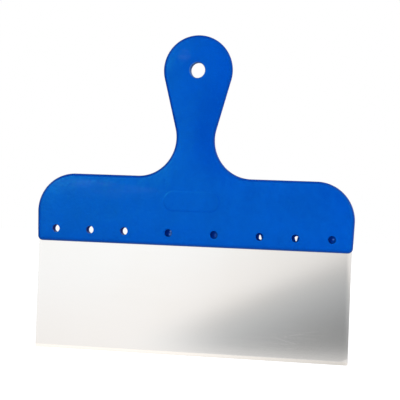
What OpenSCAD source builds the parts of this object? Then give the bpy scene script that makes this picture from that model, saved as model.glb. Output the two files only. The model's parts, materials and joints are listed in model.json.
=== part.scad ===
// Flexible putty knife: a wide, thin spring-steel blade held along its whole
// top edge by a flat moulded plastic handle with a paddle-shaped grip.
//
// Frame: millimetres. X runs along the blade, Y is the thickness (the front
// face looks towards -Y) and Z is up the grip. The origin is the middle of the
// blade's working edge, in the blade's mid-plane.
// The modules for single features put z = 0 at the handle's lower edge instead;
// handle() and blade() lift the result by blade_out.

/* [Blade] */
// Width of the blade, along its working edge
blade_w = 250; // [200:5:300]
// Thickness of the sheet steel
blade_t = 0.5; // [0.3:0.05:0.8]
// Height of blade showing below the handle
blade_out = 85; // [60:1:110]
// Depth of blade hidden inside the handle
tang = 18; // [16:0.5:22]
// Height of the ground band along the working edge
grind_h = 2.4; // [1:0.1:5]
// Thickness left at the very edge of the ground band
edge_t = 0.3; // [0.2:0.05:0.3]
// Cut across each hidden top corner of the blade
tang_chamfer = 5; // [2:0.5:8]

/* [Handle] */
// How far the handle overhangs each end of the blade, at its lower edge
overhang = 0.9; // [0.5:0.1:3]
// Extra overhang each side where the shoulder rounding begins
flare = 0.7; // [0:0.1:2]
// Height of the wide wing that holds the blade
wing_h = 54; // [46:1:64]
// Radius of the two big upper wing corners
shoulder_r = 30; // [20:1:34]
// Radius of the two small lower corners
lower_r = 4; // [3.5:0.25:6]
// Thickness of the wing and the lower grip
handle_t = 9; // [8:0.25:12]
// Rounding between the flat faces and the edge all round
rim_r = 3; // [1.5:0.1:3.1]

/* [Grip] */
// Narrowest width of the grip, just above the wing
neck_w = 30.6; // [26:0.2:36]
// Radius of the two hollows between the wing and the grip
neck_r = 30; // [24:1:34]
// Radius of the round head of the grip
head_r = 27.5; // [25:0.5:30]
// Height of the head's centre above the handle's lower edge
head_z = 137.5; // [130:0.5:155]
// Thickness of the head of the grip
head_t = 7; // [6.5:0.25:8]
// Diameter of the hanging hole
hang_d = 12; // [8:0.2:14]
// Break on both mouths of the hanging hole
hang_break = 0.8; // [0.4:0.1:1.2]

/* [Blade pins] */
// Diameter of the eight holes left by the mould pins that hold the blade
pin_d = 6; // [5:0.1:7]
// Height of the pin holes above the handle's lower edge
pin_z = 10; // [9:0.5:11]
// Distance from the middle to the first pair of pin holes
pin_x1 = 18.2; // [16:0.2:19]
// Distance from the middle to the second pair
pin_x2 = 54.2; // [52:0.2:56]
// Distance from the middle to the third pair
pin_x3 = 82.1; // [80:0.2:84]
// Distance from the middle to the fourth pair
pin_x4 = 110.2; // [108:0.2:112]
// Extra diameter of the holes punched in the blade round each pin
punch_gap = 1.6; // [1:0.1:2]
// Thickness of the plastic skin left where two opposite pins did not meet
skin_t = 0.6; // [0.4:0.1:1]
// Diameter of the plastic rivets that run through the hidden part of the blade
rivet_d = 6; // [4:0.5:7]

/* [Label] */
// Width of the blank label panel on each face
label_w = 44; // [30:1:48]
// Height of the blank label panel
label_h = 15; // [14.5:0.5:18]
// How far the panel stands proud of the face
label_d = 0.25; // [0.1:0.05:0.5]
// Corner radius of the panel
label_r = 7; // [1:0.5:7]
// Height of the panel's centre above the handle's lower edge
label_z = 35; // [28:0.2:36]
// Offset of the panel's centre from the middle of the handle
label_x = -0.5; // [-6:0.5:6]

/* [Smoothness] */
// Steps round each large arc of the outline; a lower corner takes a third
arc_steps = 14; // [8:1:20]
// Steps across the rounding of the rim
rim_steps = 5; // [3:1:7]

/* [Hidden] */

PLASTIC_BLUE = [0.01, 0.33, 0.76];
STEEL = [0.80, 0.79, 0.77];
// Facets of the round holes and the label's corners.
round_fn = 48;
// Length of the cutters that pass right through the handle.
cut_len = 4 * handle_t;
// Thickness of each label block, most of it sunk in the handle.
label_block = 2;

// Half widths of the handle at its lower edge and at the shoulder.
half_low = blade_w / 2 + overhang;
half_top = half_low + flare;
// Centre of the right-hand hollow between the wing and the grip.
hollow_x = neck_w / 2 + neck_r;
hollow_z = wing_h + neck_r;
// The grip's straight flank is tangent to the head and the hollow. The angle of
// its normal comes from the two circles' centres and the sum of their radii.
flank_angle = atan2(hollow_z - head_z, hollow_x)
    + acos((head_r + neck_r) / norm([hollow_x, head_z - hollow_z]));
// The grip thins from handle_t to head_t between these two heights.
thin_from = wing_h + 8;
thin_to = head_z - 18;

// Pin holes from left to right. In the clear ones the pins from the two sides
// met; in the others a skin of plastic remains between them.
clear_pins = [-pin_x4, -pin_x3, -pin_x2];
skin_pins = [-pin_x1, pin_x1, pin_x2, pin_x3, pin_x4];
pins = concat(clear_pins, skin_pins);
// Plastic rivets midway between neighbouring pins lock the blade in.
rivets = [for (i = [0 : len(pins) - 2]) (pins[i] + pins[i + 1]) / 2];
rivet_z = pin_z + 0.5;
// Ragged gaps torn in two of the skins: [x of the pin, outline], the outline
// as [x, z] points from the pin's centre, in shares of the pin's radius.
skin_gaps = [
    [pin_x2, [[-0.13, 0.52], [0.02, 0.48], [0.27, -0.25], [0.34, -0.57],
              [0.1, -0.75], [-0.37, -0.5], [-0.4, -0.1], [-0.25, 0.41]]],
    [pin_x3, [[-0.41, 0.25], [-0.29, -0.24], [-0.09, -0.76], [0.12, -0.7],
              [0.31, 0.1], [0.42, 0.55], [-0.13, 0.51]]]
];

// ---- Handle outline ----

// Smooth step from 0 to 1 as share goes from 0 to 1.
function ease(share) =
    share <= 0 ? 0 : share >= 1 ? 1 : share * share * (3 - 2 * share);

// Half thickness of the handle at height z.
function half_thick(z) = handle_t / 2
    - (handle_t - head_t) / 2 * ease((z - thin_from) / (thin_to - thin_from));

// Points on an arc between two angles.
function arc(centre, radius, from, to, steps) =
    [for (i = [0 : steps])
        let (angle = from + (to - from) * i / steps)
        centre + radius * [cos(angle), sin(angle)]];

// Right half of the outline as [x, z], from the lower edge up to the top of
// the head, moved inwards by inset.
lower_steps = ceil(arc_steps / 3);
function right_side(inset) = concat(
    arc([half_low - lower_r, lower_r], lower_r - inset, -90, 0, lower_steps),
    arc([half_top - shoulder_r, wing_h - shoulder_r], shoulder_r - inset, 0, 90, arc_steps),
    arc([hollow_x, hollow_z], neck_r + inset, -90, flank_angle - 180, arc_steps),
    arc([0, head_z], head_r - inset, flank_angle, 90, arc_steps)
);

side_n = len(right_side(0));
ring_n = 2 * side_n - 1;
// Points of the right half where the wing's level top edge begins (end of the
// shoulder) and ends (start of the hollow).
wing_a = lower_steps + 1 + arc_steps;
wing_b = wing_a + 1;

// Whole outline: up the right side, through the top point, down the left.
function outline(inset) =
    let (right = right_side(inset))
    concat(
        [for (i = [0 : side_n - 2]) right[i]],
        [[0, right[side_n - 1][1]]],
        [for (i = [side_n - 2 : -1 : 0]) [-right[i][0], right[i][1]]]
    );

// ---- Handle skin ----

// Ring of points round the handle at a rim angle (0 at the edge wall, 90 at
// the flat face) on one side (-1 front, +1 back).
function ring(angle, side) =
    let (inset = rim_r * (1 - cos(angle)), drop = rim_r * (1 - sin(angle)))
    [for (p = outline(inset)) [p[0], side * (half_thick(p[1]) - drop), p[1]]];

// Rings from the front face, over the edge wall, to the back face.
rings = concat(
    [for (k = [rim_steps : -1 : 0]) ring(90 * k / rim_steps, -1)],
    [for (k = [0 : rim_steps]) ring(90 * k / rim_steps, 1)]
);
last_ring = len(rings) - 1;

// Index of a ring's point i, and of the mirror image of its point i.
function at(level, i) = level * ring_n + i % ring_n;
function mirrored(level, i) = at(level, ring_n - 1 - i);

// Strip of flat face across the handle between points j and j + 1. The last
// one is a triangle; the one below the wing's top edge takes that edge in too.
function strip(level, j) =
    j == side_n - 2
    ? [mirrored(level, j), at(level, j + 1), at(level, j)]
    : j == wing_a - 1
    ? [mirrored(level, j), mirrored(level, wing_a), mirrored(level, wing_b),
       at(level, wing_b), at(level, wing_a), at(level, j)]
    : [mirrored(level, j), mirrored(level, j + 1), at(level, j + 1), at(level, j)];

// Faces joining a ring to the next one at step i: a flat quad on the edge wall
// between front and back, two triangles on the rounded rim.
function wall(level, i) =
    let (a = at(level, i), b = at(level, i + 1),
         c = at(level + 1, i + 1), d = at(level + 1, i))
    level == rim_steps ? [[a, b, c, d]] : [[a, b, c], [a, c, d]];

function flipped(face) = [for (i = [len(face) - 1 : -1 : 0]) face[i]];

// Outer form of the handle.
module handle_form() {
    walls = [for (level = [0 : last_ring - 1], i = [0 : ring_n - 1]) each wall(level, i)];
    front = [for (j = [0 : side_n - 2]) if (j != wing_a) strip(0, j)];
    back = [for (j = [0 : side_n - 2]) if (j != wing_a) flipped(strip(last_ring, j))];
    polyhedron(
        points = [for (points = rings) each points],
        faces = concat(walls, front, back),
        convexity = 8
    );
}

// ---- Features ----

// A round hole through the thickness at [x, z].
module through(x, z, diameter) {
    translate([x, 0, z]) rotate([90, 0, 0])
        cylinder(h = cut_len, d = diameter, center = true, $fn = round_fn);
}

// The two opposite blind holes left by one pair of mould pins, skin_t apart.
module pin_pair(x) {
    for (side = [-1, 1])
        translate([x, side * (skin_t / 2 + handle_t), pin_z]) rotate([90, 0, 0])
            cylinder(h = 2 * handle_t, d = pin_d, center = true, $fn = round_fn);
}

// A ragged gap through the skin between two pins.
module skin_gap(x, shape) {
    translate([x, 0, pin_z]) rotate([90, 0, 0])
        linear_extrude(height = 3 * skin_t, center = true)
            polygon([for (p = shape) p * pin_d / 2]);
}

// Hanging hole, its mouth on each face broken by a cone.
module hanging_hole() {
    cone_d = hang_d + 4 * hang_break;
    through(0, head_z, hang_d);
    for (side = [-1, 1])
        translate([0, side * head_t / 2, head_z]) rotate([90, 0, 0])
            cylinder(h = 2 * hang_break, d1 = side > 0 ? cone_d : hang_d,
                     d2 = side > 0 ? hang_d : cone_d, center = true, $fn = round_fn);
}

// Rounded rectangle of the label panel.
module label_shape() {
    union() {
        square([label_w - 2 * label_r, label_h], center = true);
        square([label_w, label_h - 2 * label_r], center = true);
        for (sx = [-1, 1], sy = [-1, 1])
            translate([sx * (label_w / 2 - label_r), sy * (label_h / 2 - label_r)])
                circle(r = label_r, $fn = round_fn);
    }
}

// Panels standing proud of both faces by label_d, rooted in the handle.
module label_panels() {
    translate([label_x, 0, label_z]) rotate([90, 0, 0])
        for (side = [-1, 1])
            translate([0, 0, side * (handle_t / 2 + label_d - label_block / 2)])
                linear_extrude(height = label_block, center = true) label_shape();
}

// Sheet-steel blade with its hidden part; also cuts its own slot in the handle.
module blade_sheet() {
    corner = tang_chamfer * sqrt(2);
    difference() {
        // Side view of the sheet, ground thinner along the working edge.
        rotate([90, 0, 90]) linear_extrude(height = blade_w, center = true)
            polygon([
                [-blade_t / 2, tang], [-blade_t / 2, -blade_out + grind_h],
                [-edge_t / 2, -blade_out], [edge_t / 2, -blade_out],
                [blade_t / 2, -blade_out + grind_h], [blade_t / 2, tang]
            ]);
        for (x = pins) through(x, pin_z, pin_d + punch_gap);
        for (x = rivets) through(x, rivet_z, rivet_d);
        for (side = [-1, 1])
            translate([side * blade_w / 2, 0, tang]) rotate([90, 45, 0])
                cube([corner, corner, 4 * blade_t], center = true);
    }
}

// ---- Pieces ----

// Handle: one plastic moulding, formed round the blade.
module handle() {
    color(PLASTIC_BLUE) translate([0, 0, blade_out]) difference() {
        union() {
            handle_form();
            label_panels();
        }
        blade_sheet();
        for (x = clear_pins) through(x, pin_z, pin_d);
        for (x = skin_pins) pin_pair(x);
        for (gap = skin_gaps) skin_gap(gap[0], gap[1]);
        hanging_hole();
    }
}

// Blade: one sheet of spring stainless steel.
module blade() {
    color(STEEL) translate([0, 0, blade_out]) blade_sheet();
}

handle();
blade();
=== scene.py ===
"""A wide spring-steel blade in a moulded blue plastic handle.

The handle is a broad, thin wing that narrows through a neck to a round head with a hanging hole.
The knife stands upright in the X-Z plane with the blade at the bottom and its front face
towards -Y. Left and right are -X and +X, as seen from the front.
"""
import json
import math
from collections import namedtuple
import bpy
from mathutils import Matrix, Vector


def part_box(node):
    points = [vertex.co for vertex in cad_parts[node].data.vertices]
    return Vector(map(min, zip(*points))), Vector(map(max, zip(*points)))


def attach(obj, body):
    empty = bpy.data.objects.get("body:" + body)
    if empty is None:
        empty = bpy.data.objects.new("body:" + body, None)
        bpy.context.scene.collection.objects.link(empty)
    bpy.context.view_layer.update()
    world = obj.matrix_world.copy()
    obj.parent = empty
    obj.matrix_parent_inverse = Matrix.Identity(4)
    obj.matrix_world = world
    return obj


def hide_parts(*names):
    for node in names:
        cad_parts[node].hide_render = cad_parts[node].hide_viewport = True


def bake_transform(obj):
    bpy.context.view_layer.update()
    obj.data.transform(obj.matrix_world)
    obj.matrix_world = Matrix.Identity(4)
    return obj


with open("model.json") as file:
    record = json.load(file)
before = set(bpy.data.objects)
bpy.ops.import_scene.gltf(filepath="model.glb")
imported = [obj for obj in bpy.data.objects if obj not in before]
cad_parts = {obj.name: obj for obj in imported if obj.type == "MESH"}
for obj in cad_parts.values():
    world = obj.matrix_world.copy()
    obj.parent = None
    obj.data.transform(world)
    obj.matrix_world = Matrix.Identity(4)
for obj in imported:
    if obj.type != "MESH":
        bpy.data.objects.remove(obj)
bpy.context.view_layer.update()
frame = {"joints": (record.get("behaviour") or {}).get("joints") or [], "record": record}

from types import SimpleNamespace

import bpy
import bmesh
import numpy as np
from mathutils import Matrix, Vector, noise
from mathutils.geometry import delaunay_2d_cdt

MM = 0.001

# ------------------------------------------------------------------ sizes
# Millimetres, with z measured up from the handle's lower edge. Z0 lifts it to the frame's height.
handle_low, handle_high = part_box("handle")
blade_low, blade_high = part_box("blade")
hole_mount = next(m for m in frame["record"]["mounts"] if m["name"] == "hanging_hole")

Z0 = frame["joints"][0]["pos_m"][2] / MM
HALF_TOP = handle_high.x / MM                  # half width at the shoulders
HALF_LOW = HALF_TOP - 0.7                      # half width at the lower edge
TOP = handle_high.z / MM - Z0
WING_H = 54.0
SHOULDER_R = 30.0
LOWER_R = 4.0

HEAD_Z = hole_mount["pos_m"][2] / MM - Z0
HEAD_R = TOP - HEAD_Z
HANG_R = hole_mount["dims"]["r_mm"]
HANG_ROUND = 0.9                               # rounding of the hanging hole's mouth
NECK_WIDTH = 30.6                              # between the ends of the neck's curves
NECK_R = 30.0
NECK_X = NECK_WIDTH / 2 + NECK_R               # centre of the neck's curve
NECK_Z = WING_H + NECK_R

LABEL_PROUD = 0.25                             # the label panels stand this far out
LABEL_X, LABEL_Z = -0.5, 35.0
LABEL_HALF_W, LABEL_HALF_H, LABEL_R = 22.0, 7.5, 7.0
LABEL_SLOPE = 1.2                              # width of the panel's sloped border

HALF_T = handle_high.y / MM - LABEL_PROUD      # half thickness of the wing
HEAD_HALF_T = HALF_T - 1.0
THIN_FROM, THIN_TO = WING_H + 8, HEAD_Z - 18   # the wing thins to the head between these
RIM_R = 3.0
RIM_STEPS = 7
WALL_IN = 0.05                                 # the side wall stands this far inside the parting line
PILLOW, PILLOW_L = 0.75, 17.0                  # how far the faces fall at the edge, over what width
OUTLINE_STEP = 1.25

PIN_R = 3.0
PIN_Z = 10.0
PINS = [-110.2, -82.1, -54.2, -18.2, 18.2, 54.2, 82.1, 110.2]
OPEN_PINS = 3                                  # the first three go right through
CLOSED_FROM = PINS[OPEN_PINS] - 10             # the closed ones are right of this x
SKIN = 0.3                                     # half the plastic skin left in the others
# Walls of a closed pin hole down to the skin: inset, distance from the middle plane.
SKIN_WALL = [(0, 2.2), (0, 1.1), (0, SKIN + 0.25), (0.07, SKIN + 0.07), (0.25, SKIN)]
# Ragged openings in two of the skins, by pin number: x, z in pin radii from the pin's centre.
TEARS = {
    5: [(-0.25, 0.41), (-0.4, -0.1), (-0.37, -0.5), (0.1, -0.75),
        (0.34, -0.57), (0.27, -0.25), (0.02, 0.48), (-0.13, 0.52)],
    6: [(-0.41, 0.25), (-0.29, -0.24), (-0.09, -0.76), (0.12, -0.7),
        (0.31, 0.1), (0.42, 0.55), (-0.13, 0.51)],
}

Hole = namedtuple("Hole", "x z radius rounding segments")
HOLES = [Hole(x, PIN_Z, PIN_R, 0.2, 40) for x in PINS]
HOLES.append(Hole(0.0, HEAD_Z, HANG_R, HANG_ROUND, 72))

HALF_BLADE = blade_high.x / MM
OUT = Z0 - blade_low.z / MM                    # blade showing below the handle
TANG = blade_high.z / MM - Z0                  # height of the blade inside the handle
TANG_CUT = 5.0                                 # corners cut off the top of the tang
HALF_SHEET = blade_high.y / MM
BLADE_CORNER_R = 0.9
GRIND = 2.4                                    # height of the ground edge
EDGE = 0.15                                    # half thickness at its tip
# Holes in the blade: x, z, radius.
PUNCHED = [(x, PIN_Z, PIN_R + 0.8) for x in PINS]
RIVETS = [(x, 10.5, 3.0) for x in (-96.15, -68.15, -36.2, 0.0, 36.2, 68.15, 96.15)]
BLADE_HOLES = PUNCHED + RIVETS

# Direction in which the straight flank between neck and head faces, from +X.
FLANK = (math.atan2(NECK_Z - HEAD_Z, NECK_X)
         + math.acos((HEAD_R + NECK_R) / math.hypot(NECK_X, HEAD_Z - NECK_Z)))


# ------------------------------------------------------------------ plane geometry
def smooth(t):
    t = np.clip(t, 0.0, 1.0)
    return t * t * (3 - 2 * t)


def segment(start, end, count):
    t = np.arange(count)[:, None] / count
    return np.array(start) * (1 - t) + np.array(end) * t


def arc(centre, radius, start, end, count):
    t = start + (end - start) * np.arange(count) / count
    return np.stack([centre[0] + radius * np.cos(t), centre[1] + radius * np.sin(t)], 1)


def circle(x, z, radius, count):
    t = 2 * math.pi * np.arange(count) / count
    return np.stack([x + radius * np.cos(t), z + radius * np.sin(t)], 1)


def cut_loop(corners, step):
    """Closed polyline through the corners, each side cut to about step."""
    points = []
    for a, b in zip(corners, corners[1:] + corners[:1]):
        count = max(1, int(round(math.dist(a, b) / step)))
        points += [(a[0] + (b[0] - a[0]) * i / count, a[1] + (b[1] - a[1]) * i / count)
                   for i in range(count)]
    return np.array(points)


def hex_grid(x0, x1, z0, z1, spacing):
    rows = []
    for i, z in enumerate(np.arange(z0, z1, spacing * math.sqrt(3) / 2)):
        xs = np.arange(x0 + (spacing / 2 if i % 2 else 0), x1, spacing)
        rows.append(np.stack([xs, np.full(len(xs), z)], 1))
    return np.concatenate(rows)


def dist_to_loop(points, loop):
    """Distance from each point to a closed polyline, worked in batches to save memory."""
    batch = 2000
    start = loop
    along = np.roll(loop, -1, 0) - start
    out = np.empty(len(points))
    for i in range(0, len(points), batch):
        p = points[i:i + batch]
        t = np.clip(((p[:, None] - start) * along).sum(2) / (along * along).sum(1), 0, 1)
        gap = (start + along * t[..., None]) - p[:, None]
        out[i:i + batch] = np.sqrt((gap ** 2).sum(2)).min(1)
    return out


def in_loop(points, loop):
    """Which points lie inside a closed polyline, by counting crossings."""
    a, b = loop, np.roll(loop, -1, 0)
    x, z = points[:, 0][:, None], points[:, 1][:, None]
    crosses = (a[:, 1] > z) != (b[:, 1] > z)
    with np.errstate(divide="ignore", invalid="ignore"):
        cross_x = (b[:, 0] - a[:, 0]) * (z - a[:, 1]) / (b[:, 1] - a[:, 1]) + a[:, 0]
    return (crosses & (x < cross_x)).sum(1) % 2 == 1


def outside_holes(points, holes, margin):
    """The points at least margin away from each hole, given as (x, z, radius)."""
    for x, z, radius in holes:
        distance = np.hypot(points[:, 0] - x, points[:, 1] - z)
        points = points[distance > radius + margin]
    return points


def triangulate(boundary, holes, lines, free):
    """Triangulates inside boundary and outside holes, keeping the edges of every loop.

    Returns points and anticlockwise triangles. The points start with the boundary's and then
    the holes', in order.
    """
    points, edges = [], []
    for loop in [boundary] + holes + lines:
        first = len(points)
        points += [tuple(p) for p in loop]
        edges += [(first + i, first + (i + 1) % len(loop)) for i in range(len(loop))]
    points += [tuple(p) for p in free]
    _, _, faces, origins, _, _ = delaunay_2d_cdt([Vector(p) for p in points], edges, [], 0, 1e-6)
    if not all(origins):
        raise RuntimeError("a triangulation added a point")
    points = np.array(points)
    tris = np.array([[origins[i][0] for i in face] for face in faces])
    middles = points[tris].mean(1)
    keep = in_loop(middles, boundary)
    for hole in holes:
        keep &= ~in_loop(middles, hole)
    tris = tris[keep]
    a, b, c = points[tris[:, 0]], points[tris[:, 1]], points[tris[:, 2]]
    area = ((b[:, 0] - a[:, 0]) * (c[:, 1] - a[:, 1])
            - (b[:, 1] - a[:, 1]) * (c[:, 0] - a[:, 0]))
    solid = np.abs(area) > 1e-9
    tris, area = tris[solid], area[solid]
    tris[area < 0] = tris[area < 0][:, ::-1]
    return points, tris


# ------------------------------------------------------------------ meshes
def to_xyz(points, y):
    y = np.broadcast_to(y, (len(points),))
    return np.stack([points[:, 0], y, points[:, 1] + Z0], 1)


class Shell:
    """Collects vertices and faces of one closed mesh."""

    def __init__(self):
        self.blocks, self.faces = [], []
        self.count = 0

    def add(self, points, y):
        """Adds X-Z points at depth y and returns their vertex numbers."""
        first = self.count
        self.blocks.append(to_xyz(points, y))
        self.count += len(points)
        return first + np.arange(len(points))

    def bands(self, rings, flip=False):
        """Quads between each closed ring and the next, all of the same length."""
        for a, b in zip(rings[:-1], rings[1:]):
            quads = np.stack([a, np.roll(a, -1), np.roll(b, -1), b], 1)
            self.faces += (quads[:, ::-1] if flip else quads).tolist()

    def cap(self, side, boundary, holes, rings, surface, lines=(), free=()):
        """Fills a face on the front (side -1) or the back (1).

        rings are the vertices already made for the boundary and the holes. surface gives the
        depth of the other points.
        """
        points, tris = triangulate(boundary, holes, list(lines), free)
        rest = points[sum(len(ring) for ring in rings):]
        numbers = np.concatenate(rings + [self.add(rest, surface(rest))])
        tris = numbers[tris]
        self.faces += (tris if side < 0 else tris[:, ::-1]).tolist()

    def build(self, name):
        mesh = bpy.data.meshes.new(name)
        mesh.from_pydata((np.concatenate(self.blocks) * MM).tolist(), [], self.faces)
        mesh.update()
        ob = bpy.data.objects.new(name, mesh)
        bpy.context.scene.collection.objects.link(ob)
        tidy(ob)
        return ob


def tidy(ob):
    """Welds the mesh and turns its faces outwards."""
    bm = bmesh.new()
    bm.from_mesh(ob.data)
    bmesh.ops.remove_doubles(bm, verts=bm.verts, dist=2e-7)
    bmesh.ops.dissolve_degenerate(bm, edges=bm.edges, dist=1e-7)
    bmesh.ops.recalc_face_normals(bm, faces=bm.faces)
    bm.to_mesh(ob.data)
    bm.free()


def sharpen(ob, degrees):
    """Smooth shading, with edges above an angle kept sharp."""
    bm = bmesh.new()
    bm.from_mesh(ob.data)
    for face in bm.faces:
        face.smooth = True
    for edge in bm.edges:
        edge.smooth = not (len(edge.link_faces) == 2
                           and edge.calc_face_angle(0) > math.radians(degrees))
    bm.to_mesh(ob.data)
    bm.free()


# ------------------------------------------------------------------ handle surfaces
def right_side(inset):
    """Right half of the outline, from the middle of the lower edge to the top of the head."""
    quarter = math.pi / 2

    def cuts(length):
        return max(4, int(round(length / OUTLINE_STEP)))

    shoulder_x, shoulder_z = HALF_TOP - SHOULDER_R, WING_H - SHOULDER_R
    face_x, face_z = math.cos(FLANK), math.sin(FLANK)
    flank_low = (NECK_X - (NECK_R + inset) * face_x, NECK_Z - (NECK_R + inset) * face_z)
    flank_high = ((HEAD_R - inset) * face_x, HEAD_Z + (HEAD_R - inset) * face_z)
    flank_length = math.sqrt(NECK_X ** 2 + (HEAD_Z - NECK_Z) ** 2 - (HEAD_R + NECK_R) ** 2)
    return np.concatenate([
        segment((0, inset), (HALF_LOW - LOWER_R, inset), cuts(HALF_LOW - LOWER_R)),
        arc((HALF_LOW - LOWER_R, LOWER_R), LOWER_R - inset, -quarter, 0, 8),
        segment((HALF_LOW - inset, LOWER_R), (HALF_TOP - inset, shoulder_z),
                cuts(WING_H - SHOULDER_R - LOWER_R)),
        arc((shoulder_x, shoulder_z), SHOULDER_R - inset, 0, quarter, cuts(SHOULDER_R * quarter)),
        segment((shoulder_x, WING_H - inset), (NECK_X, WING_H - inset),
                cuts(HALF_TOP - SHOULDER_R - NECK_X)),
        arc((NECK_X, NECK_Z), NECK_R + inset, -quarter, FLANK - math.pi,
            cuts(NECK_R * (quarter - FLANK))),
        segment(flank_low, flank_high, cuts(flank_length)),
        arc((0, HEAD_Z), HEAD_R - inset, FLANK, quarter, cuts(HEAD_R * (quarter - FLANK))),
        np.array([[0.0, HEAD_Z + HEAD_R - inset]]),
    ])


def outline(inset):
    """The handle's outline moved inwards, anticlockwise from the front."""
    right = right_side(inset)
    left = right[1:-1][::-1].copy()
    left[:, 0] *= -1
    return np.concatenate([right, left])


OUTLINE = outline(0.0)


def label_loop(grow):
    """The label panel's rounded rectangle, grown all round."""
    corner_cuts, side_cuts = 10, 20
    half_w, half_h, radius = LABEL_HALF_W + grow, LABEL_HALF_H + grow, LABEL_R + grow
    points = []
    for sx, sz, start in ((1, -1, -90), (1, 1, 0), (-1, 1, 90), (-1, -1, 180)):
        for i in range(corner_cuts + 1):
            t = math.radians(start + 90 * i / corner_cuts)
            points.append((LABEL_X + sx * (half_w - radius) + radius * math.cos(t),
                           LABEL_Z + sz * (half_h - radius) + radius * math.sin(t)))
        if sx == sz:
            x0, z0 = points[-1]
            points += [(x0 - sx * 2 * (half_w - radius) * i / side_cuts, z0)
                       for i in range(1, side_cuts)]
    return np.array(points)


def label_rise(x, z):
    """Height of the blank label panel, with a narrow sloped border."""
    beyond_x = np.abs(x - LABEL_X) - (LABEL_HALF_W - LABEL_R)
    beyond_z = np.abs(z - LABEL_Z) - (LABEL_HALF_H - LABEL_R)
    outside = (np.hypot(np.maximum(beyond_x, 0), np.maximum(beyond_z, 0))
               + np.minimum(np.maximum(beyond_x, beyond_z), 0) - LABEL_R)
    return (LABEL_PROUD - 0.01) * smooth(0.5 - outside / LABEL_SLOPE)


def half_thickness(z):
    """Half thickness of the flat faces: an eased step from wing to head."""
    return HALF_T - (HALF_T - HEAD_HALF_T) * smooth((z - THIN_FROM) / (THIN_TO - THIN_FROM))


def pillow(inset):
    """The faces fall away gently towards the edge all round."""
    t = np.clip(1 - (inset - RIM_R) / PILLOW_L, 0, 1)
    return PILLOW * t * t


def wave(points, side):
    """Slow sink and warp of a thick moulding, a few hundredths of a millimetre."""
    mean, swing = 0.05, 0.035
    warp = [noise.noise(Vector((x * 0.035, z * 0.045, 7.3 * side)))
            + 0.4 * noise.noise(Vector((x * 0.09, z * 0.09, 3.1 + side))) for x, z in points]
    return mean + swing * np.array(warp)


def face_y(side, points, inset, drop=0.0):
    """Depth of a face at points that lie inset from the outline, sunk by drop."""
    y = half_thickness(points[:, 1]) - pillow(inset) - wave(points, side) - drop
    return side * (y + label_rise(points[:, 0], points[:, 1]))


# ------------------------------------------------------------------ handle
def quarter_turn(steps):
    return [math.pi / 2 * i / steps for i in range(steps + 1)]


def face_grid():
    """Free points of a face, clear of the rim, the holes and the label's border."""
    label_gap = 1.3
    grid = hex_grid(-HALF_TOP, HALF_TOP, 0.6, TOP, 1.9)
    clear = in_loop(grid, outline(RIM_R + 0.9)) & (dist_to_loop(grid, OUTLINE) > RIM_R + 2.1)
    grid = outside_holes(grid[clear], [(h.x, h.z, h.radius + h.rounding) for h in HOLES], 1.1)
    return grid[~in_loop(grid, label_loop(label_gap)) | in_loop(grid, label_loop(-label_gap))]


def add_face(shell, side):
    """One face with its rolled rim and hole mouths; returns the outer ring and the mouths."""
    rim = []
    for angle in quarter_turn(RIM_STEPS):
        inset = WALL_IN + (RIM_R - WALL_IN) * (1 - math.cos(angle))
        points = outline(inset)
        roll = np.minimum(RIM_R, half_thickness(points[:, 1]) - PILLOW - 0.32)
        drop = (1 - math.sin(angle)) * roll
        rim.append(shell.add(points, face_y(side, points, inset, drop)))
    inner = points

    mouths = []
    for hole in HOLES:
        rings = []
        for angle in quarter_turn(4):
            points = circle(hole.x, hole.z, hole.radius + hole.rounding * (1 - math.cos(angle)),
                            hole.segments)
            drop = hole.rounding * (1 - math.sin(angle))
            y = face_y(side, points, dist_to_loop(points, OUTLINE), drop)
            rings.append(shell.add(points, y))
        mouths.append(rings)

    lines = [outline(RIM_R + step) for step in (0.4, 0.9)]
    lines += [label_loop(grow) for grow in (-0.75, -0.5, -0.17, 0.17, 0.5, 0.75)]
    lines += [circle(h.x, h.z, h.radius + h.rounding + 0.5, h.segments) for h in HOLES]
    shell.cap(side, inner,
              holes=[circle(h.x, h.z, h.radius + h.rounding, h.segments) for h in HOLES],
              rings=[rim[-1]] + [rings[-1] for rings in mouths],
              surface=lambda p: face_y(side, p, dist_to_loop(p, OUTLINE)),
              lines=lines, free=face_grid())
    shell.bands(rim, flip=side > 0)
    for rings in mouths:
        shell.bands(rings, flip=side < 0)
    return rim[0], [rings[0] for rings in mouths]


def torn_loop(pin):
    """The ragged opening of a skin, its corners slightly rounded by cutting."""
    corners = np.array(TEARS[pin]) * PIN_R + np.array((PINS[pin], PIN_Z))
    points = []
    for i, corner in enumerate(corners):
        before, after = corners[i - 1], corners[(i + 1) % len(corners)]
        points += [corner + (before - corner) * 0.22,
                   corner + (before + after - 2 * corner) * 0.06,
                   corner + (after - corner) * 0.22]
    return np.array(points)


def add_skin(shell, side, pin, mouth):
    """Wall and one face of the skin half way down a closed pin hole; returns its torn rings."""
    x, z, radius, _, segments = HOLES[pin]
    rings = [mouth]
    for inset, y in SKIN_WALL:
        boundary = circle(x, z, radius - inset, segments)
        rings.append(shell.add(boundary, side * y))
    shell.bands(rings, flip=side > 0)

    tears = [torn_loop(pin)] if pin in TEARS else []
    grid = hex_grid(x - radius, x + radius, z - radius, z + radius, 0.42)
    grid = grid[np.hypot(grid[:, 0] - x, grid[:, 1] - z) < radius - 0.5]
    for tear in tears:
        grid = grid[~in_loop(grid, tear)]
        grid = grid[dist_to_loop(grid, tear) > 0.2]
    torn_rings = [shell.add(tear, side * (SKIN - 0.08)) for tear in tears]

    def uneven(points):
        dip = np.array([0.09 * noise.noise(Vector((p[0] * 0.7, p[1] * 0.7, 5.0 + side)))
                        for p in points])
        return side * (SKIN - 0.06 + dip)

    shell.cap(side, boundary, tears, [rings[-1]] + torn_rings, uneven, free=grid)
    return torn_rings


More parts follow.
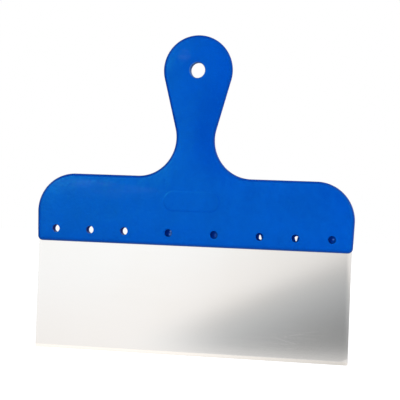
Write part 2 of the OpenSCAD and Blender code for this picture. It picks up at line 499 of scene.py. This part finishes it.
def make_handle():
    shell = Shell()
    edges, mouths, torn = {}, {}, {}
    for side in (-1, 1):
        edges[side], mouths[side] = add_face(shell, side)
        torn[side] = []
        for pin in range(OPEN_PINS, len(PINS)):
            torn[side] += add_skin(shell, side, pin, mouths[side][pin])
    for front, back in zip(torn[-1], torn[1]):
        shell.bands([front, back])
    # Edge wall with a fine parting line at its middle: y, inset.
    parting = [(-0.09, WALL_IN), (-0.03, 0.0), (0.03, 0.0), (0.09, WALL_IN)]
    wall = [shell.add(outline(inset), y) for y, inset in parting]
    shell.bands([edges[-1]] + wall + [edges[1]], flip=True)
    # Walls of the holes that go right through.
    for i, (hole, front, back) in enumerate(zip(HOLES, mouths[-1], mouths[1])):
        if OPEN_PINS <= i < len(PINS):
            continue
        points = circle(hole.x, hole.z, hole.radius, hole.segments)
        middle = [shell.add(points, y) for y in (-1.6, -0.6, 0.6, 1.6)]
        shell.bands([front] + middle + [back])
    return shell.build("handle_moulding")


def cut_pocket(handle):
    """Takes the blade's space out of the handle, with the rivets left standing."""
    pocket = make_pocket()
    cut = handle.modifiers.new("pocket", "BOOLEAN")
    cut.operation = "DIFFERENCE"
    cut.solver = "EXACT"
    cut.object = pocket
    depsgraph = bpy.context.evaluated_depsgraph_get()
    mesh = bpy.data.meshes.new_from_object(handle.evaluated_get(depsgraph), depsgraph=depsgraph)
    handle.modifiers.clear()
    handle.data = mesh
    bpy.data.objects.remove(pocket)
    tidy(handle)


# ------------------------------------------------------------------ blade and its pocket
def make_plate(name, boundary, half_sheet, bevel=0.0, free=()):
    """A thin sheet in the X-Z plane with the blade's holes; half_sheet(z) is half its thickness."""
    shell = Shell()
    holes = [circle(x, z, radius, 40) for x, z, radius in BLADE_HOLES]
    outer, hole_rings = {}, {}
    for side in (-1, 1):
        outer[side] = shell.add(boundary, side * (half_sheet(boundary[:, 1]) - bevel))
        inner, inner_ring = boundary, outer[side]
        if bevel:
            along = np.roll(boundary, -1, 0) - np.roll(boundary, 1, 0)
            along /= np.linalg.norm(along, axis=1)[:, None]
            inner = boundary + bevel * np.stack([-along[:, 1], along[:, 0]], 1)
            inner_ring = shell.add(inner, side * half_sheet(inner[:, 1]))
            shell.bands([outer[side], inner_ring], flip=side > 0)
        hole_rings[side] = [shell.add(hole, side * half_sheet(hole[:, 1])) for hole in holes]
        shell.cap(side, inner, holes, [inner_ring] + hole_rings[side],
                  lambda p: side * half_sheet(p[:, 1]), free=free)
    shell.bands([outer[-1], outer[1]], flip=True)
    for front, back in zip(hole_rings[-1], hole_rings[1]):
        shell.bands([front, back])
    return shell.build(name)


def tang_top(inset=0.0):
    """The four corners at the top of the tang, from right to left."""
    w, c = HALF_BLADE, TANG_CUT
    return [(w - inset, TANG - c - inset), (w - c - inset, TANG - inset),
            (-w + c + inset, TANG - inset), (-w + inset, TANG - c - inset)]


def make_pocket():
    boundary = np.array([(-HALF_BLADE, -4.0), (HALF_BLADE, -4.0)] + tang_top())
    return make_plate("pocket", boundary, lambda z: np.full(len(z), HALF_SHEET))


def lower_corner(x, start):
    """A rounded lower corner of the blade about x, anticlockwise from start degrees."""
    radius = BLADE_CORNER_R
    angles = [math.radians(start + 90 * i / 5) for i in range(6)]
    return [(x + radius * math.cos(t), -OUT + radius + radius * math.sin(t)) for t in angles]


def make_blade():
    w = HALF_BLADE
    corners = (lower_corner(w - BLADE_CORNER_R, -90) + tang_top()
               + lower_corner(-w + BLADE_CORNER_R, -180))

    def half_sheet(z):
        ground = EDGE + (HALF_SHEET - EDGE) * np.clip((z + OUT) / GRIND, 0, 1)
        return np.where(z < -OUT + GRIND, ground, HALF_SHEET)

    # Rows of points hold the line where the grind begins.
    xs = np.arange(-w + 2.6, w - 2.5, 2.5)
    rows = [np.stack([xs, np.full(len(xs), -OUT + height)], 1)
            for height in (GRIND - 0.02, GRIND + 0.02, GRIND + 0.6)]
    grid = hex_grid(-w + 1.5, w - 1.4, -OUT + GRIND + 2.4, TANG - 1.2, 2.6)
    room = np.array([(-w + 1, -OUT), (w - 1, -OUT)] + tang_top(inset=1))
    grid = outside_holes(grid[in_loop(grid, room)], BLADE_HOLES, 0.9)
    return make_plate("spring_blade", cut_loop(corners, 2.5), half_sheet, bevel=0.06,
                      free=np.concatenate(rows + [grid]))


# ------------------------------------------------------------------ node helpers
def srgb(red, green, blue):
    """Linear RGBA from 8-bit sRGB."""
    return (*(((v / 255 + 0.055) / 1.055) ** 2.4 if v > 10 else v / 255 / 12.92
              for v in (red, green, blue)), 1.0)


class Value:
    """An output socket; arithmetic on it adds math nodes."""

    def __init__(self, graph, socket):
        self.graph, self.socket = graph, socket

    def calc(self, operation, *others):
        return self.graph.calc(operation, self, *others)

    def __add__(self, other):
        return self.calc("ADD", other)

    def __radd__(self, other):
        return self.graph.calc("ADD", other, self)

    def __sub__(self, other):
        return self.calc("SUBTRACT", other)

    def __rsub__(self, other):
        return self.graph.calc("SUBTRACT", other, self)

    def __mul__(self, other):
        return self.calc("MULTIPLY", other)

    def __truediv__(self, other):
        return self.calc("DIVIDE", other)

    def ramp(self, over, to=(0.0, 1.0), kind="SMOOTHSTEP"):
        """Maps the range `over` onto the range `to`."""
        return self.graph.value("ShaderNodeMapRange", 0, dict(enumerate((self, *over, *to))),
                                interpolation_type=kind)


class Graph:
    """Builds the node tree of a material or a world."""

    def __init__(self, owner):
        owner.use_nodes = True
        self.tree = owner.node_tree
        self.tree.nodes.clear()

    def node(self, kind, inputs=(), **settings):
        node = self.tree.nodes.new(kind)
        for name, setting in settings.items():
            setattr(node, name, setting)
        for key, value in dict(inputs).items():
            if isinstance(value, Value):
                self.tree.links.new(value.socket, node.inputs[key])
            else:
                node.inputs[key].default_value = value
        return node

    def value(self, kind, output, inputs=(), **settings):
        return Value(self, self.node(kind, inputs, **settings).outputs[output])

    def calc(self, operation, *values):
        return self.value("ShaderNodeMath", 0, dict(enumerate(values)), operation=operation)

    def mix(self, factor, a, b):
        return self.value("ShaderNodeMix", 2, {0: factor, 6: a, 7: b}, data_type="RGBA")

    def xyz(self, vector):
        node = self.node("ShaderNodeSeparateXYZ", {0: vector})
        return [Value(self, socket) for socket in node.outputs]


class MaterialGraph(Graph):
    """A graph with textures in object coordinates."""

    def __init__(self, name):
        self.material = bpy.data.materials.new(name)
        super().__init__(self.material)
        self.coord = self.value("ShaderNodeTexCoord", "Object")

    def stretched(self, stretch, offset):
        return self.value("ShaderNodeMapping", 0,
                          {"Scale": stretch, "Location": offset, "Vector": self.coord})

    def noise(self, stretch=(1, 1, 1), scale=1.0, detail=2.0, roughness=0.5, distortion=0.0,
              offset=(0, 0, 0)):
        return self.value("ShaderNodeTexNoise", "Fac", {
            "Vector": self.stretched(stretch, offset), "Scale": scale, "Detail": detail,
            "Roughness": roughness, "Distortion": distortion})

    def bump(self, height, distance, strength, **inputs):
        return self.value("ShaderNodeBump", 0, {
            "Height": height, "Distance": distance, "Strength": strength, **inputs})

    def spots(self, table, x, z, over, weight):
        """The strongest of soft elliptical spots (x, z, half width, half height, amount)."""
        strongest = None
        for spot_x, spot_z, half_w, half_h, amount in table:
            dx = (x - spot_x * MM) / (half_w * MM)
            dz = (z - (Z0 + spot_z) * MM) / (half_h * MM)
            spot = (dx * dx + dz * dz).ramp(over=over) * weight * amount
            strongest = strongest.calc("MAXIMUM", spot) if strongest else spot
        return strongest

    def principled(self, inputs):
        surface = self.value("ShaderNodeBsdfPrincipled", 0, inputs)
        self.node("ShaderNodeOutputMaterial", {0: surface})
        return self.material


# ------------------------------------------------------------------ materials
# Centre x, z, half width, half height, amount.
# Painted highlights: pale patches on the front face where the lamp's gloss would fall.
PAINTED_HIGHLIGHT_SPOTS = [(-11.0, 148.5, 4.8, 4.8, 0.15), (-88.0, 46.0, 26.0, 3.6, 0.12),
         (-52.0, 43.0, 22.0, 3.0, 0.07), (-70.0, 41.0, 40.0, 6.0, 0.04)]
# Painted glow: paler spots in the skins, where light from behind would show through.
PAINTED_GLOW_SPOTS = [(-16.7, 11.2, 1.4, 0.9, 0.9), (-17.1, 9.0, 1.5, 1.1, 0.5),
        (18.9, 9.6, 1.2, 1.6, 0.15), (110.7, 10.3, 0.7, 0.6, 0.5)]


def plastic():
    g = MaterialGraph("blue_polypropylene")
    cloud = g.noise(scale=38.0, detail=3.0, roughness=0.55)
    fine = g.noise(scale=900.0, detail=3.0, roughness=0.6)
    grit = g.noise(scale=3200.0)
    flow = g.noise(stretch=(14, 14, 60), distortion=0.6)
    base = g.mix(cloud.ramp(over=(0.3, 0.7)), srgb(0, 75, 192), srgb(0, 81, 203))
    base = g.mix(flow.ramp(over=(0.45, 0.75), to=(0.0, 0.35)), base, srgb(0, 72, 194))
    base = g.mix(fine.ramp(over=(0.36, 0.66), to=(0.0, 0.28)), base, srgb(0, 66, 172))
    # Light rubbing where the rims and mouths of the holes get handled.
    worn = g.value("ShaderNodeNewGeometry", "Pointiness").ramp(over=(0.53, 0.60))
    patch = g.noise(scale=160.0, detail=4.0, roughness=0.65).ramp(over=(0.52, 0.70))
    scuff = worn * patch
    base = g.mix(scuff * 0.15, base, srgb(30, 104, 205))
    # The skins left in the closed pin holes are thin; the light showing through them in places is
    # painted in as a paler colour.
    x, y, z = g.xyz(g.coord)
    depth = y.calc("ABSOLUTE").ramp(over=((SKIN + 0.1) * MM, (SKIN + 0.5) * MM), to=(1.0, 0.0))
    painted_glow = g.spots(PAINTED_GLOW_SPOTS, x, z, over=(1.6, 0.3), weight=depth)
    # Painted shade darkens the insides of the pin holes and, a little, the rolled rim.
    cavity = g.value("ShaderNodeAttribute", "Fac", attribute_name="cavity")
    base = g.mix(cavity * 0.8, base, srgb(0, 16, 98))
    # Painted glow of light through the skins.
    base = g.mix(painted_glow, base, srgb(110, 150, 222))
    # Painted highlight, pale and in streaks, on the front face only.
    streak = g.noise(stretch=(60, 60, 260), offset=(0.2, 0, 0.4), detail=4.0, roughness=0.6,
                     distortion=0.3).ramp(over=(0.38, 0.66), to=(0.25, 1.0))
    painted_highlight = g.spots(PAINTED_HIGHLIGHT_SPOTS, x, z, over=(1.8, 0.0), weight=streak)
    painted_highlight = painted_highlight * y.ramp(over=(-2.0 * MM, -1.0 * MM), to=(1.0, 0.0))
    base = g.mix(painted_highlight, base, srgb(92, 128, 214))
    # The mouth and wall of the hanging hole are scuffed pale by hooks.
    ring = (x * x + (z - (Z0 + HEAD_Z) * MM).calc("POWER", 2.0)).calc("SQRT")
    hook = ring.ramp(over=((HANG_R + HANG_ROUND) * MM, (HANG_R + 0.1) * MM), to=(0.0, 0.75))
    base = g.mix(hook, base, srgb(70, 122, 190))
    rough = cloud.ramp(over=(0.25, 0.75), to=(0.24, 0.31))
    rough = rough + grit.ramp(over=(0.3, 0.7), to=(-0.04, 0.05)) + scuff * 0.12 + cavity * 0.35
    # The grip is rubbed duller than the wing.
    sheen = z.ramp(over=((Z0 + 48) * MM, (Z0 + 84) * MM), to=(0.74, 0.46))
    dimple = g.bump(g.noise(scale=150.0, detail=3.0, roughness=0.6), distance=0.0007, strength=0.5)
    return g.principled({
        "Base Color": base,
        "Roughness": rough,
        "IOR": 1.49,
        "Specular IOR Level": sheen * cavity.ramp(over=(0.0, 1.0), to=(1.0, 0.15)),
        "Specular Tint": (0.03, 0.80, 1.0, 1.0),
        "Normal": g.bump(grit * 0.6 + fine * 0.4, distance=0.00006, strength=0.55, Normal=dimple),
    })


def steel():
    g = MaterialGraph("satin_spring_steel")
    line = g.noise(stretch=(40, 1, 9000), detail=3.0, roughness=0.65)
    band = g.noise(stretch=(9, 1, 1400), detail=3.0, roughness=0.6)
    speck = g.noise(stretch=(900, 1, 1500), roughness=0.7)
    cloud = g.noise(stretch=(9, 1, 14), detail=3.0, roughness=0.55)
    tone = line * 0.22 + band * 0.16 + speck * 0.62
    base = g.mix(tone.ramp(over=(0.36, 0.64)), srgb(228, 228, 228), srgb(232, 232, 232))
    base = g.mix(cloud.ramp(over=(0.40, 0.72), to=(0.0, 0.35)), base, srgb(226, 224, 220))
    # The ground edge, taken up from z = 0 of the frame.
    height = g.xyz(g.coord)[2]
    ground = height.ramp(over=((GRIND + 0.25) * MM, (GRIND - 0.25) * MM))
    base = g.mix(ground * 0.5, base, srgb(234, 230, 224))
    # A few fine scratches from use, mostly along the blade.
    crack = g.value("ShaderNodeTexVoronoi", "Distance", {
        "Scale": 1.0, "Vector": g.stretched((16, 1, 240), (0.3, 0, 0.1)),
    }, feature="DISTANCE_TO_EDGE")
    scratch = (crack.ramp(over=(0.0, 0.012), to=(1.0, 0.0))
               * g.noise(stretch=(22, 1, 22)).ramp(over=(0.55, 0.68)))
    # Shearing has lifted the two side edges by a hair.
    lift = g.xyz(g.coord)[0].calc("ABSOLUTE").ramp(
        over=((HALF_BLADE - 3.6) * MM, HALF_BLADE * MM), kind="LINEAR")
    lifted = g.bump(lift.calc("POWER", 2.0), distance=0.00004, strength=1.0)
    return g.principled({
        "Base Color": base,
        "Metallic": 1.0,
        "Roughness": (tone.ramp(over=(0.34, 0.66), to=(0.055, 0.08))
                      + ground * 0.06 + scratch * 0.05),
        "Anisotropic": 0.3,
        "Tangent": g.value("ShaderNodeTangent", 0, direction_type="UV_MAP", uv_map="grain"),
        "Normal": g.bump(line * 0.5 + speck * 0.5 - scratch * 0.1,
                         distance=0.0000025, strength=0.5, Normal=lifted),
    })


def painted_shade_mask(ob):
    """Painted shade for the pin holes and the rolled rim, by how deep each point sits in a pin hole:
    0 on the faces, 1 from about 1.5 mm down.
    """
    co = np.array([v.co for v in ob.data.vertices]) / MM
    x, y, z = co[:, 0], np.abs(co[:, 1]), co[:, 2]
    radius = np.min([np.hypot(x - pin, z - Z0 - PIN_Z) for pin in PINS], axis=0)
    mask = np.where(radius < PIN_R + 0.03, smooth((HALF_T - 0.3 - y) / 1.5), 0.0)
    # The open ones get less painted shade low down, as if their lower wall caught the light.
    low = (x < CLOSED_FROM) * smooth((Z0 + PIN_Z - z) / PIN_R * 1.6 - 0.5)
    mask = mask * (1 - 0.9 * low)
    # The closed ones get less painted shade on their right side.
    nearest = np.array(PINS)[np.argmin([np.abs(x - pin) for pin in PINS], axis=0)]
    right = (nearest > CLOSED_FROM) * smooth(0.5 + (x - nearest) / PIN_R * 0.55)
    mask = mask * (1 - 0.55 * right)
    # A little painted shade in the rolled rim too.
    inset = dist_to_loop(np.stack([x, z - Z0], 1), OUTLINE)
    mask = np.maximum(mask, 0.22 * smooth((2.7 - inset) / 1.3))
    ob.data.attributes.new("cavity", "FLOAT", "POINT").data.foreach_set("value", mask)


def grain_uv(ob):
    """Lengths along X and Z, so that the grain has a direction."""
    mesh = ob.data
    uv = mesh.uv_layers.new(name="grain")
    co = np.array([v.co for v in mesh.vertices])
    corners = np.zeros(len(mesh.loops), int)
    mesh.loops.foreach_get("vertex_index", corners)
    uv.data.foreach_set("uv", (co[corners][:, [0, 2]] * 4.0).ravel())


# ------------------------------------------------------------------ build
handle = make_handle()
cut_pocket(handle)
sharpen(handle, degrees=34)
# Paints shade into the pin holes and the rolled rim, as a vertex attribute.
painted_shade_mask(handle)
handle.data.materials.clear()
handle.data.materials.append(plastic())

blade = make_blade()
sharpen(blade, degrees=30)
grain_uv(blade)
blade.data.materials.append(steel())

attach(handle, "handle")
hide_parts("handle")
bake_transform(blade)
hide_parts("blade")

# ------------------------------------------------------------------ floor
scene = bpy.context.scene
scene.view_settings.view_transform = "Standard"
scene.view_settings.look = "None"
WHITE = (1, 1, 1, 1)


def floor_material():
    """Grey to the light, and near white to the camera."""
    material = bpy.data.materials.new("pale_floor")
    g = Graph(material)
    diffuse = g.value("ShaderNodeBsdfDiffuse", 0, {"Color": (0.45, 0.45, 0.45, 1)})
    glow = g.value("ShaderNodeLightPath", "Is Camera Ray") * 0.95
    emission = g.value("ShaderNodeEmission", 0, {"Color": WHITE, "Strength": glow})
    surface = g.value("ShaderNodeAddShader", 0, {0: diffuse, 1: emission})
    g.node("ShaderNodeOutputMaterial", {0: surface})
    return material


def make_floor():
    half, cells = 4.0, 24                      # metres, squares each way
    row = cells + 1
    verts = [(-half + 2 * half * i / cells, -half + 2 * half * j / cells, 0.0)
             for j in range(row) for i in range(row)]
    faces = [(j * row + i, j * row + i + 1, (j + 1) * row + i + 1, (j + 1) * row + i)
             for j in range(cells) for i in range(cells)]
    mesh = bpy.data.meshes.new("floor")
    mesh.from_pydata(verts, [], faces)
    floor = bpy.data.objects.new("floor", mesh)
    floor.location.z = blade_low.z - 0.0003
    scene.collection.objects.link(floor)
    mesh.materials.append(floor_material())
    floor.visible_glossy = False


make_floor()


# ------------------------------------------------------------------ world
# Directions are azimuth, in degrees from -Y towards +X, and elevation in degrees.
def towards(azimuth, elevation):
    a, e = math.radians(azimuth), math.radians(elevation)
    return Vector((math.sin(a) * math.cos(e), -math.cos(a) * math.cos(e), math.sin(e)))


LOBE = SimpleNamespace(azimuth=-14.0, elevation=2.0, spread=26.0, strength=1.16)
HOT = SimpleNamespace(azimuth=-20.0, elevation=6.5, width=4.5, height=4.0, strength=0.32)
AMBIENT = 0.04
REAR_GLOSSY, REAR_OTHER = 0.22, 0.15           # backdrop in reflections, and otherwise


def lobe_edge(sky):
    """Grows across the curved lower right edge of the broad light, from above to below."""
    across = (sky.azimuth + 10.0).calc("MAXIMUM", -8.0).calc("MINIMUM", 4.0)
    bend_left, bend_right, level = 0.02, 0.07, -3.51
    edge = across * (0.5 + across.calc("MINIMUM", 0.0) * bend_left) + level
    edge = edge - across.calc("MAXIMUM", 0.0) * bend_right
    return (edge - sky.elevation) * 0.8


def front_light(sky):
    """A broad soft light ahead and to the left of the knife, shaded at its edges."""
    azimuth, elevation = sky.azimuth, sky.elevation
    axis = towards(LOBE.azimuth, LOBE.elevation)
    cosine = sky.x * axis.x + sky.y * axis.y + sky.z * axis.z
    lobe = ((cosine - 1.0) * (1 / math.radians(LOBE.spread) ** 2)).calc("EXPONENT")
    # The dark wedge below the curved edge, fading out to the left.
    shade = (sky.edge.ramp(over=(-0.55, 0.22), to=(1.0, 0.64))
             * sky.edge.ramp(over=(-0.5, 2.4), to=(1.0, 0.47)))
    shade = 1.0 - (1.0 - shade) * sky.fade
    fall = azimuth.ramp(over=(-15.5, -2.5), to=(1.0, 0.80))
    # The pale table below the horizon, fading towards the feet of the stand.
    shade = 1.0 - (1.0 - shade) * (1.0 - sky.table)
    shade = shade * elevation.ramp(over=(-10.0, -16.0), to=(1.0, 0.3))
    # Above the horizon the light's right edge is upright.
    upright = azimuth.ramp(over=(-16.0, -8.0)) * elevation.ramp(over=(-0.5, 2.0))
    shade = shade * (1.0 - upright * 0.96)
    near = azimuth.ramp(over=(-5.0, -14.0), to=(0.05, 0.42)) * elevation.ramp(over=(-8.0, -9.5))
    shade = shade * fall * (1.0 + near)
    lobe = lobe * azimuth.ramp(over=(-55.0, -30.0), to=(0.35, 1.0))
    return lobe * LOBE.strength * shade


def surroundings(sky):
    """A white wall to the right, a dimmer one far round and a softer ceiling."""
    azimuth, elevation = sky.azimuth, sky.elevation
    wall = (azimuth.ramp(over=(14.0, 30.0), to=(0.0, 1.0))
            * azimuth.ramp(over=(42.0, 75.0), to=(1.0, 0.3))
            * (elevation.ramp(over=(-40.0, -20.0))
               * azimuth.ramp(over=(110.0, 135.0), to=(1.0, 0.0))))
    ceiling = (elevation.ramp(over=(12.0, 24.0), to=(0.0, 0.7))
               * elevation.ramp(over=(32.0, 50.0), to=(1.0, 0.1))
               * sky.y.ramp(over=(-0.2, 0.2), to=(1.0, 0.0)))
    far = (azimuth.ramp(over=(100.0, 125.0), to=(0.0, 0.45))
           * azimuth.ramp(over=(142.0, 160.0), to=(1.0, 0.0))
           * elevation.ramp(over=(-45.0, -30.0)))
    return wall.calc("MAXIMUM", far).calc("MAXIMUM", ceiling)


def hot_spot(sky):
    """The brightest part of the light."""
    dx = (sky.azimuth - HOT.azimuth) / HOT.width
    dz = (sky.elevation - HOT.elevation) / HOT.height
    return ((dx * dx + dz * dz) * -0.5).calc("EXPONENT") * HOT.strength


def sky_colour(g, sky):
    """Warm along the curved edge and on the table, and faintly cool in the dark wedge."""
    warm = sky.edge.ramp(over=(-3.0, -0.5)) * sky.edge.ramp(over=(-0.3, 0.5), to=(1.0, 0.0))
    here = (sky.elevation.ramp(over=(-18.0, -12.0), to=(0.2, 1.0))
            * sky.azimuth.ramp(over=(20.0, 60.0), to=(1.0, 0.2)))
    warmth = (warm * 0.6).calc("MAXIMUM", sky.table * 0.85) * here
    tint = g.mix(warmth, (1.0, 0.997, 0.985, 1), (1.0, 0.950, 0.905, 1))
    coolness = sky.edge.ramp(over=(0.0, 1.0)) * sky.fade * (1.0 - sky.table)
    return g.mix(coolness, tint, (0.985, 1.0, 1.005, 1))


def make_world():
    """White to the camera, and a soft studio for everything else."""
    world = bpy.data.worlds.new("studio")
    scene.world = world
    g = Graph(world)
    x, y, z = g.xyz(g.value("ShaderNodeTexCoord", "Generated"))
    degrees = 180 / math.pi
    sky = SimpleNamespace(x=x, y=y, z=z)
    sky.azimuth = x.calc("ARCTAN2", y * -1.0) * degrees
    sky.elevation = z.calc("ARCSINE") * degrees
    sky.edge = lobe_edge(sky)
    sky.fade = sky.azimuth.ramp(over=(-15.8, -11.3))
    sky.table = sky.elevation.ramp(over=(-5.6, -6.2)) * 0.92

    strength = front_light(sky) + AMBIENT
    strength = strength + surroundings(sky)
    # The studio floor, for what looks down at the knife.
    strength = strength + sky.elevation.ramp(over=(-20.0, -32.0), to=(0.0, 0.5))
    strength = strength + hot_spot(sky)
    # The lit backdrop behind, stronger in reflections.
    path = g.node("ShaderNodeLightPath")
    rear = y.ramp(over=(0.15, 0.6)) * sky.elevation.ramp(over=(-3.0, 5.0), to=(0.15, 1.0))
    share = Value(g, path.outputs["Is Glossy Ray"]) * (REAR_GLOSSY - REAR_OTHER)
    strength = strength + rear * (share + REAR_OTHER)

    studio = g.value("ShaderNodeBackground", 0,
                     {"Strength": strength, "Color": sky_colour(g, sky)})
    white = g.value("ShaderNodeBackground", 0, {"Strength": 1.0, "Color": WHITE})
    camera_ray = Value(g, path.outputs["Is Camera Ray"])
    surface = g.value("ShaderNodeMixShader", 0, {0: camera_ray, 1: studio, 2: white})
    g.node("ShaderNodeOutputWorld", {0: surface})


make_world()


# ------------------------------------------------------------------ lamps
def softbox(name, azimuth, elevation, distance, size, power, glossy=False):
    """A rectangular lamp facing the middle of the knife; lengths in metres."""
    lamp = bpy.data.lights.new(name, "AREA")
    lamp.shape = "RECTANGLE"
    lamp.size, lamp.size_y = size
    lamp.energy = power
    ob = bpy.data.objects.new(name, lamp)
    scene.collection.objects.link(ob)
    outwards = towards(azimuth, elevation)
    ob.location = Vector((0, 0, 0.14)) + outwards * distance
    ob.rotation_mode = "QUATERNION"
    ob.rotation_quaternion = (-outwards).to_track_quat("-Z", "Y")
    ob.visible_glossy = glossy
    ob.visible_camera = False


softbox("key", azimuth=-32, elevation=14, distance=1.5, size=(0.30, 0.24), power=1.4, glossy=True)
softbox("front", azimuth=22, elevation=-6, distance=1.0, size=(0.40, 0.20), power=6.5)
softbox("right", azimuth=62, elevation=5, distance=1.6, size=(0.6, 0.6), power=2.0)
softbox("back_fill", azimuth=165, elevation=20, distance=1.8, size=(1.0, 0.8), power=7.0)

# ------------------------------------------------------------------ camera
CAMERA_AZIMUTH, CAMERA_ELEVATION, CAMERA_ROLL = 13.23, -0.40, 2.18      # degrees
CAMERA_DISTANCE = 1.10                         # metres
LENS = 126.99                                  # mm
TARGET_ON_SENSOR = (-0.5832, 0.4122)           # mm right of and above the picture's middle


def make_camera():
    data = bpy.data.cameras.new("camera")
    data.sensor_fit = "HORIZONTAL"
    data.sensor_width = 36.0
    data.lens = LENS
    data.clip_start, data.clip_end = 0.01, 50.0
    camera = bpy.data.objects.new("camera", data)
    scene.collection.objects.link(camera)
    back = towards(CAMERA_AZIMUTH, CAMERA_ELEVATION)
    right = Vector((0, 0, 1)).cross(back).normalized()
    up = back.cross(right)
    roll = math.radians(CAMERA_ROLL)
    rolled_right = math.cos(roll) * right + math.sin(roll) * up
    rolled_up = -math.sin(roll) * right + math.cos(roll) * up
    basis = Matrix((rolled_right, rolled_up, back)).transposed()
    # The turn carries the aim onto -back, so the target lands at its place in the picture.
    aim = Vector((TARGET_ON_SENSOR[0] / LENS, TARGET_ON_SENSOR[1] / LENS, -1.0))
    turn = aim.rotation_difference(Vector((0, 0, -1))).to_matrix()
    target = Vector((0, 0, (Z0 + 40) * MM))
    place = Matrix.Translation(target + back * CAMERA_DISTANCE)
    camera.matrix_world = place @ (basis @ turn).to_4x4()
    scene.camera = camera


make_camera()

bpy.context.view_layer.update()
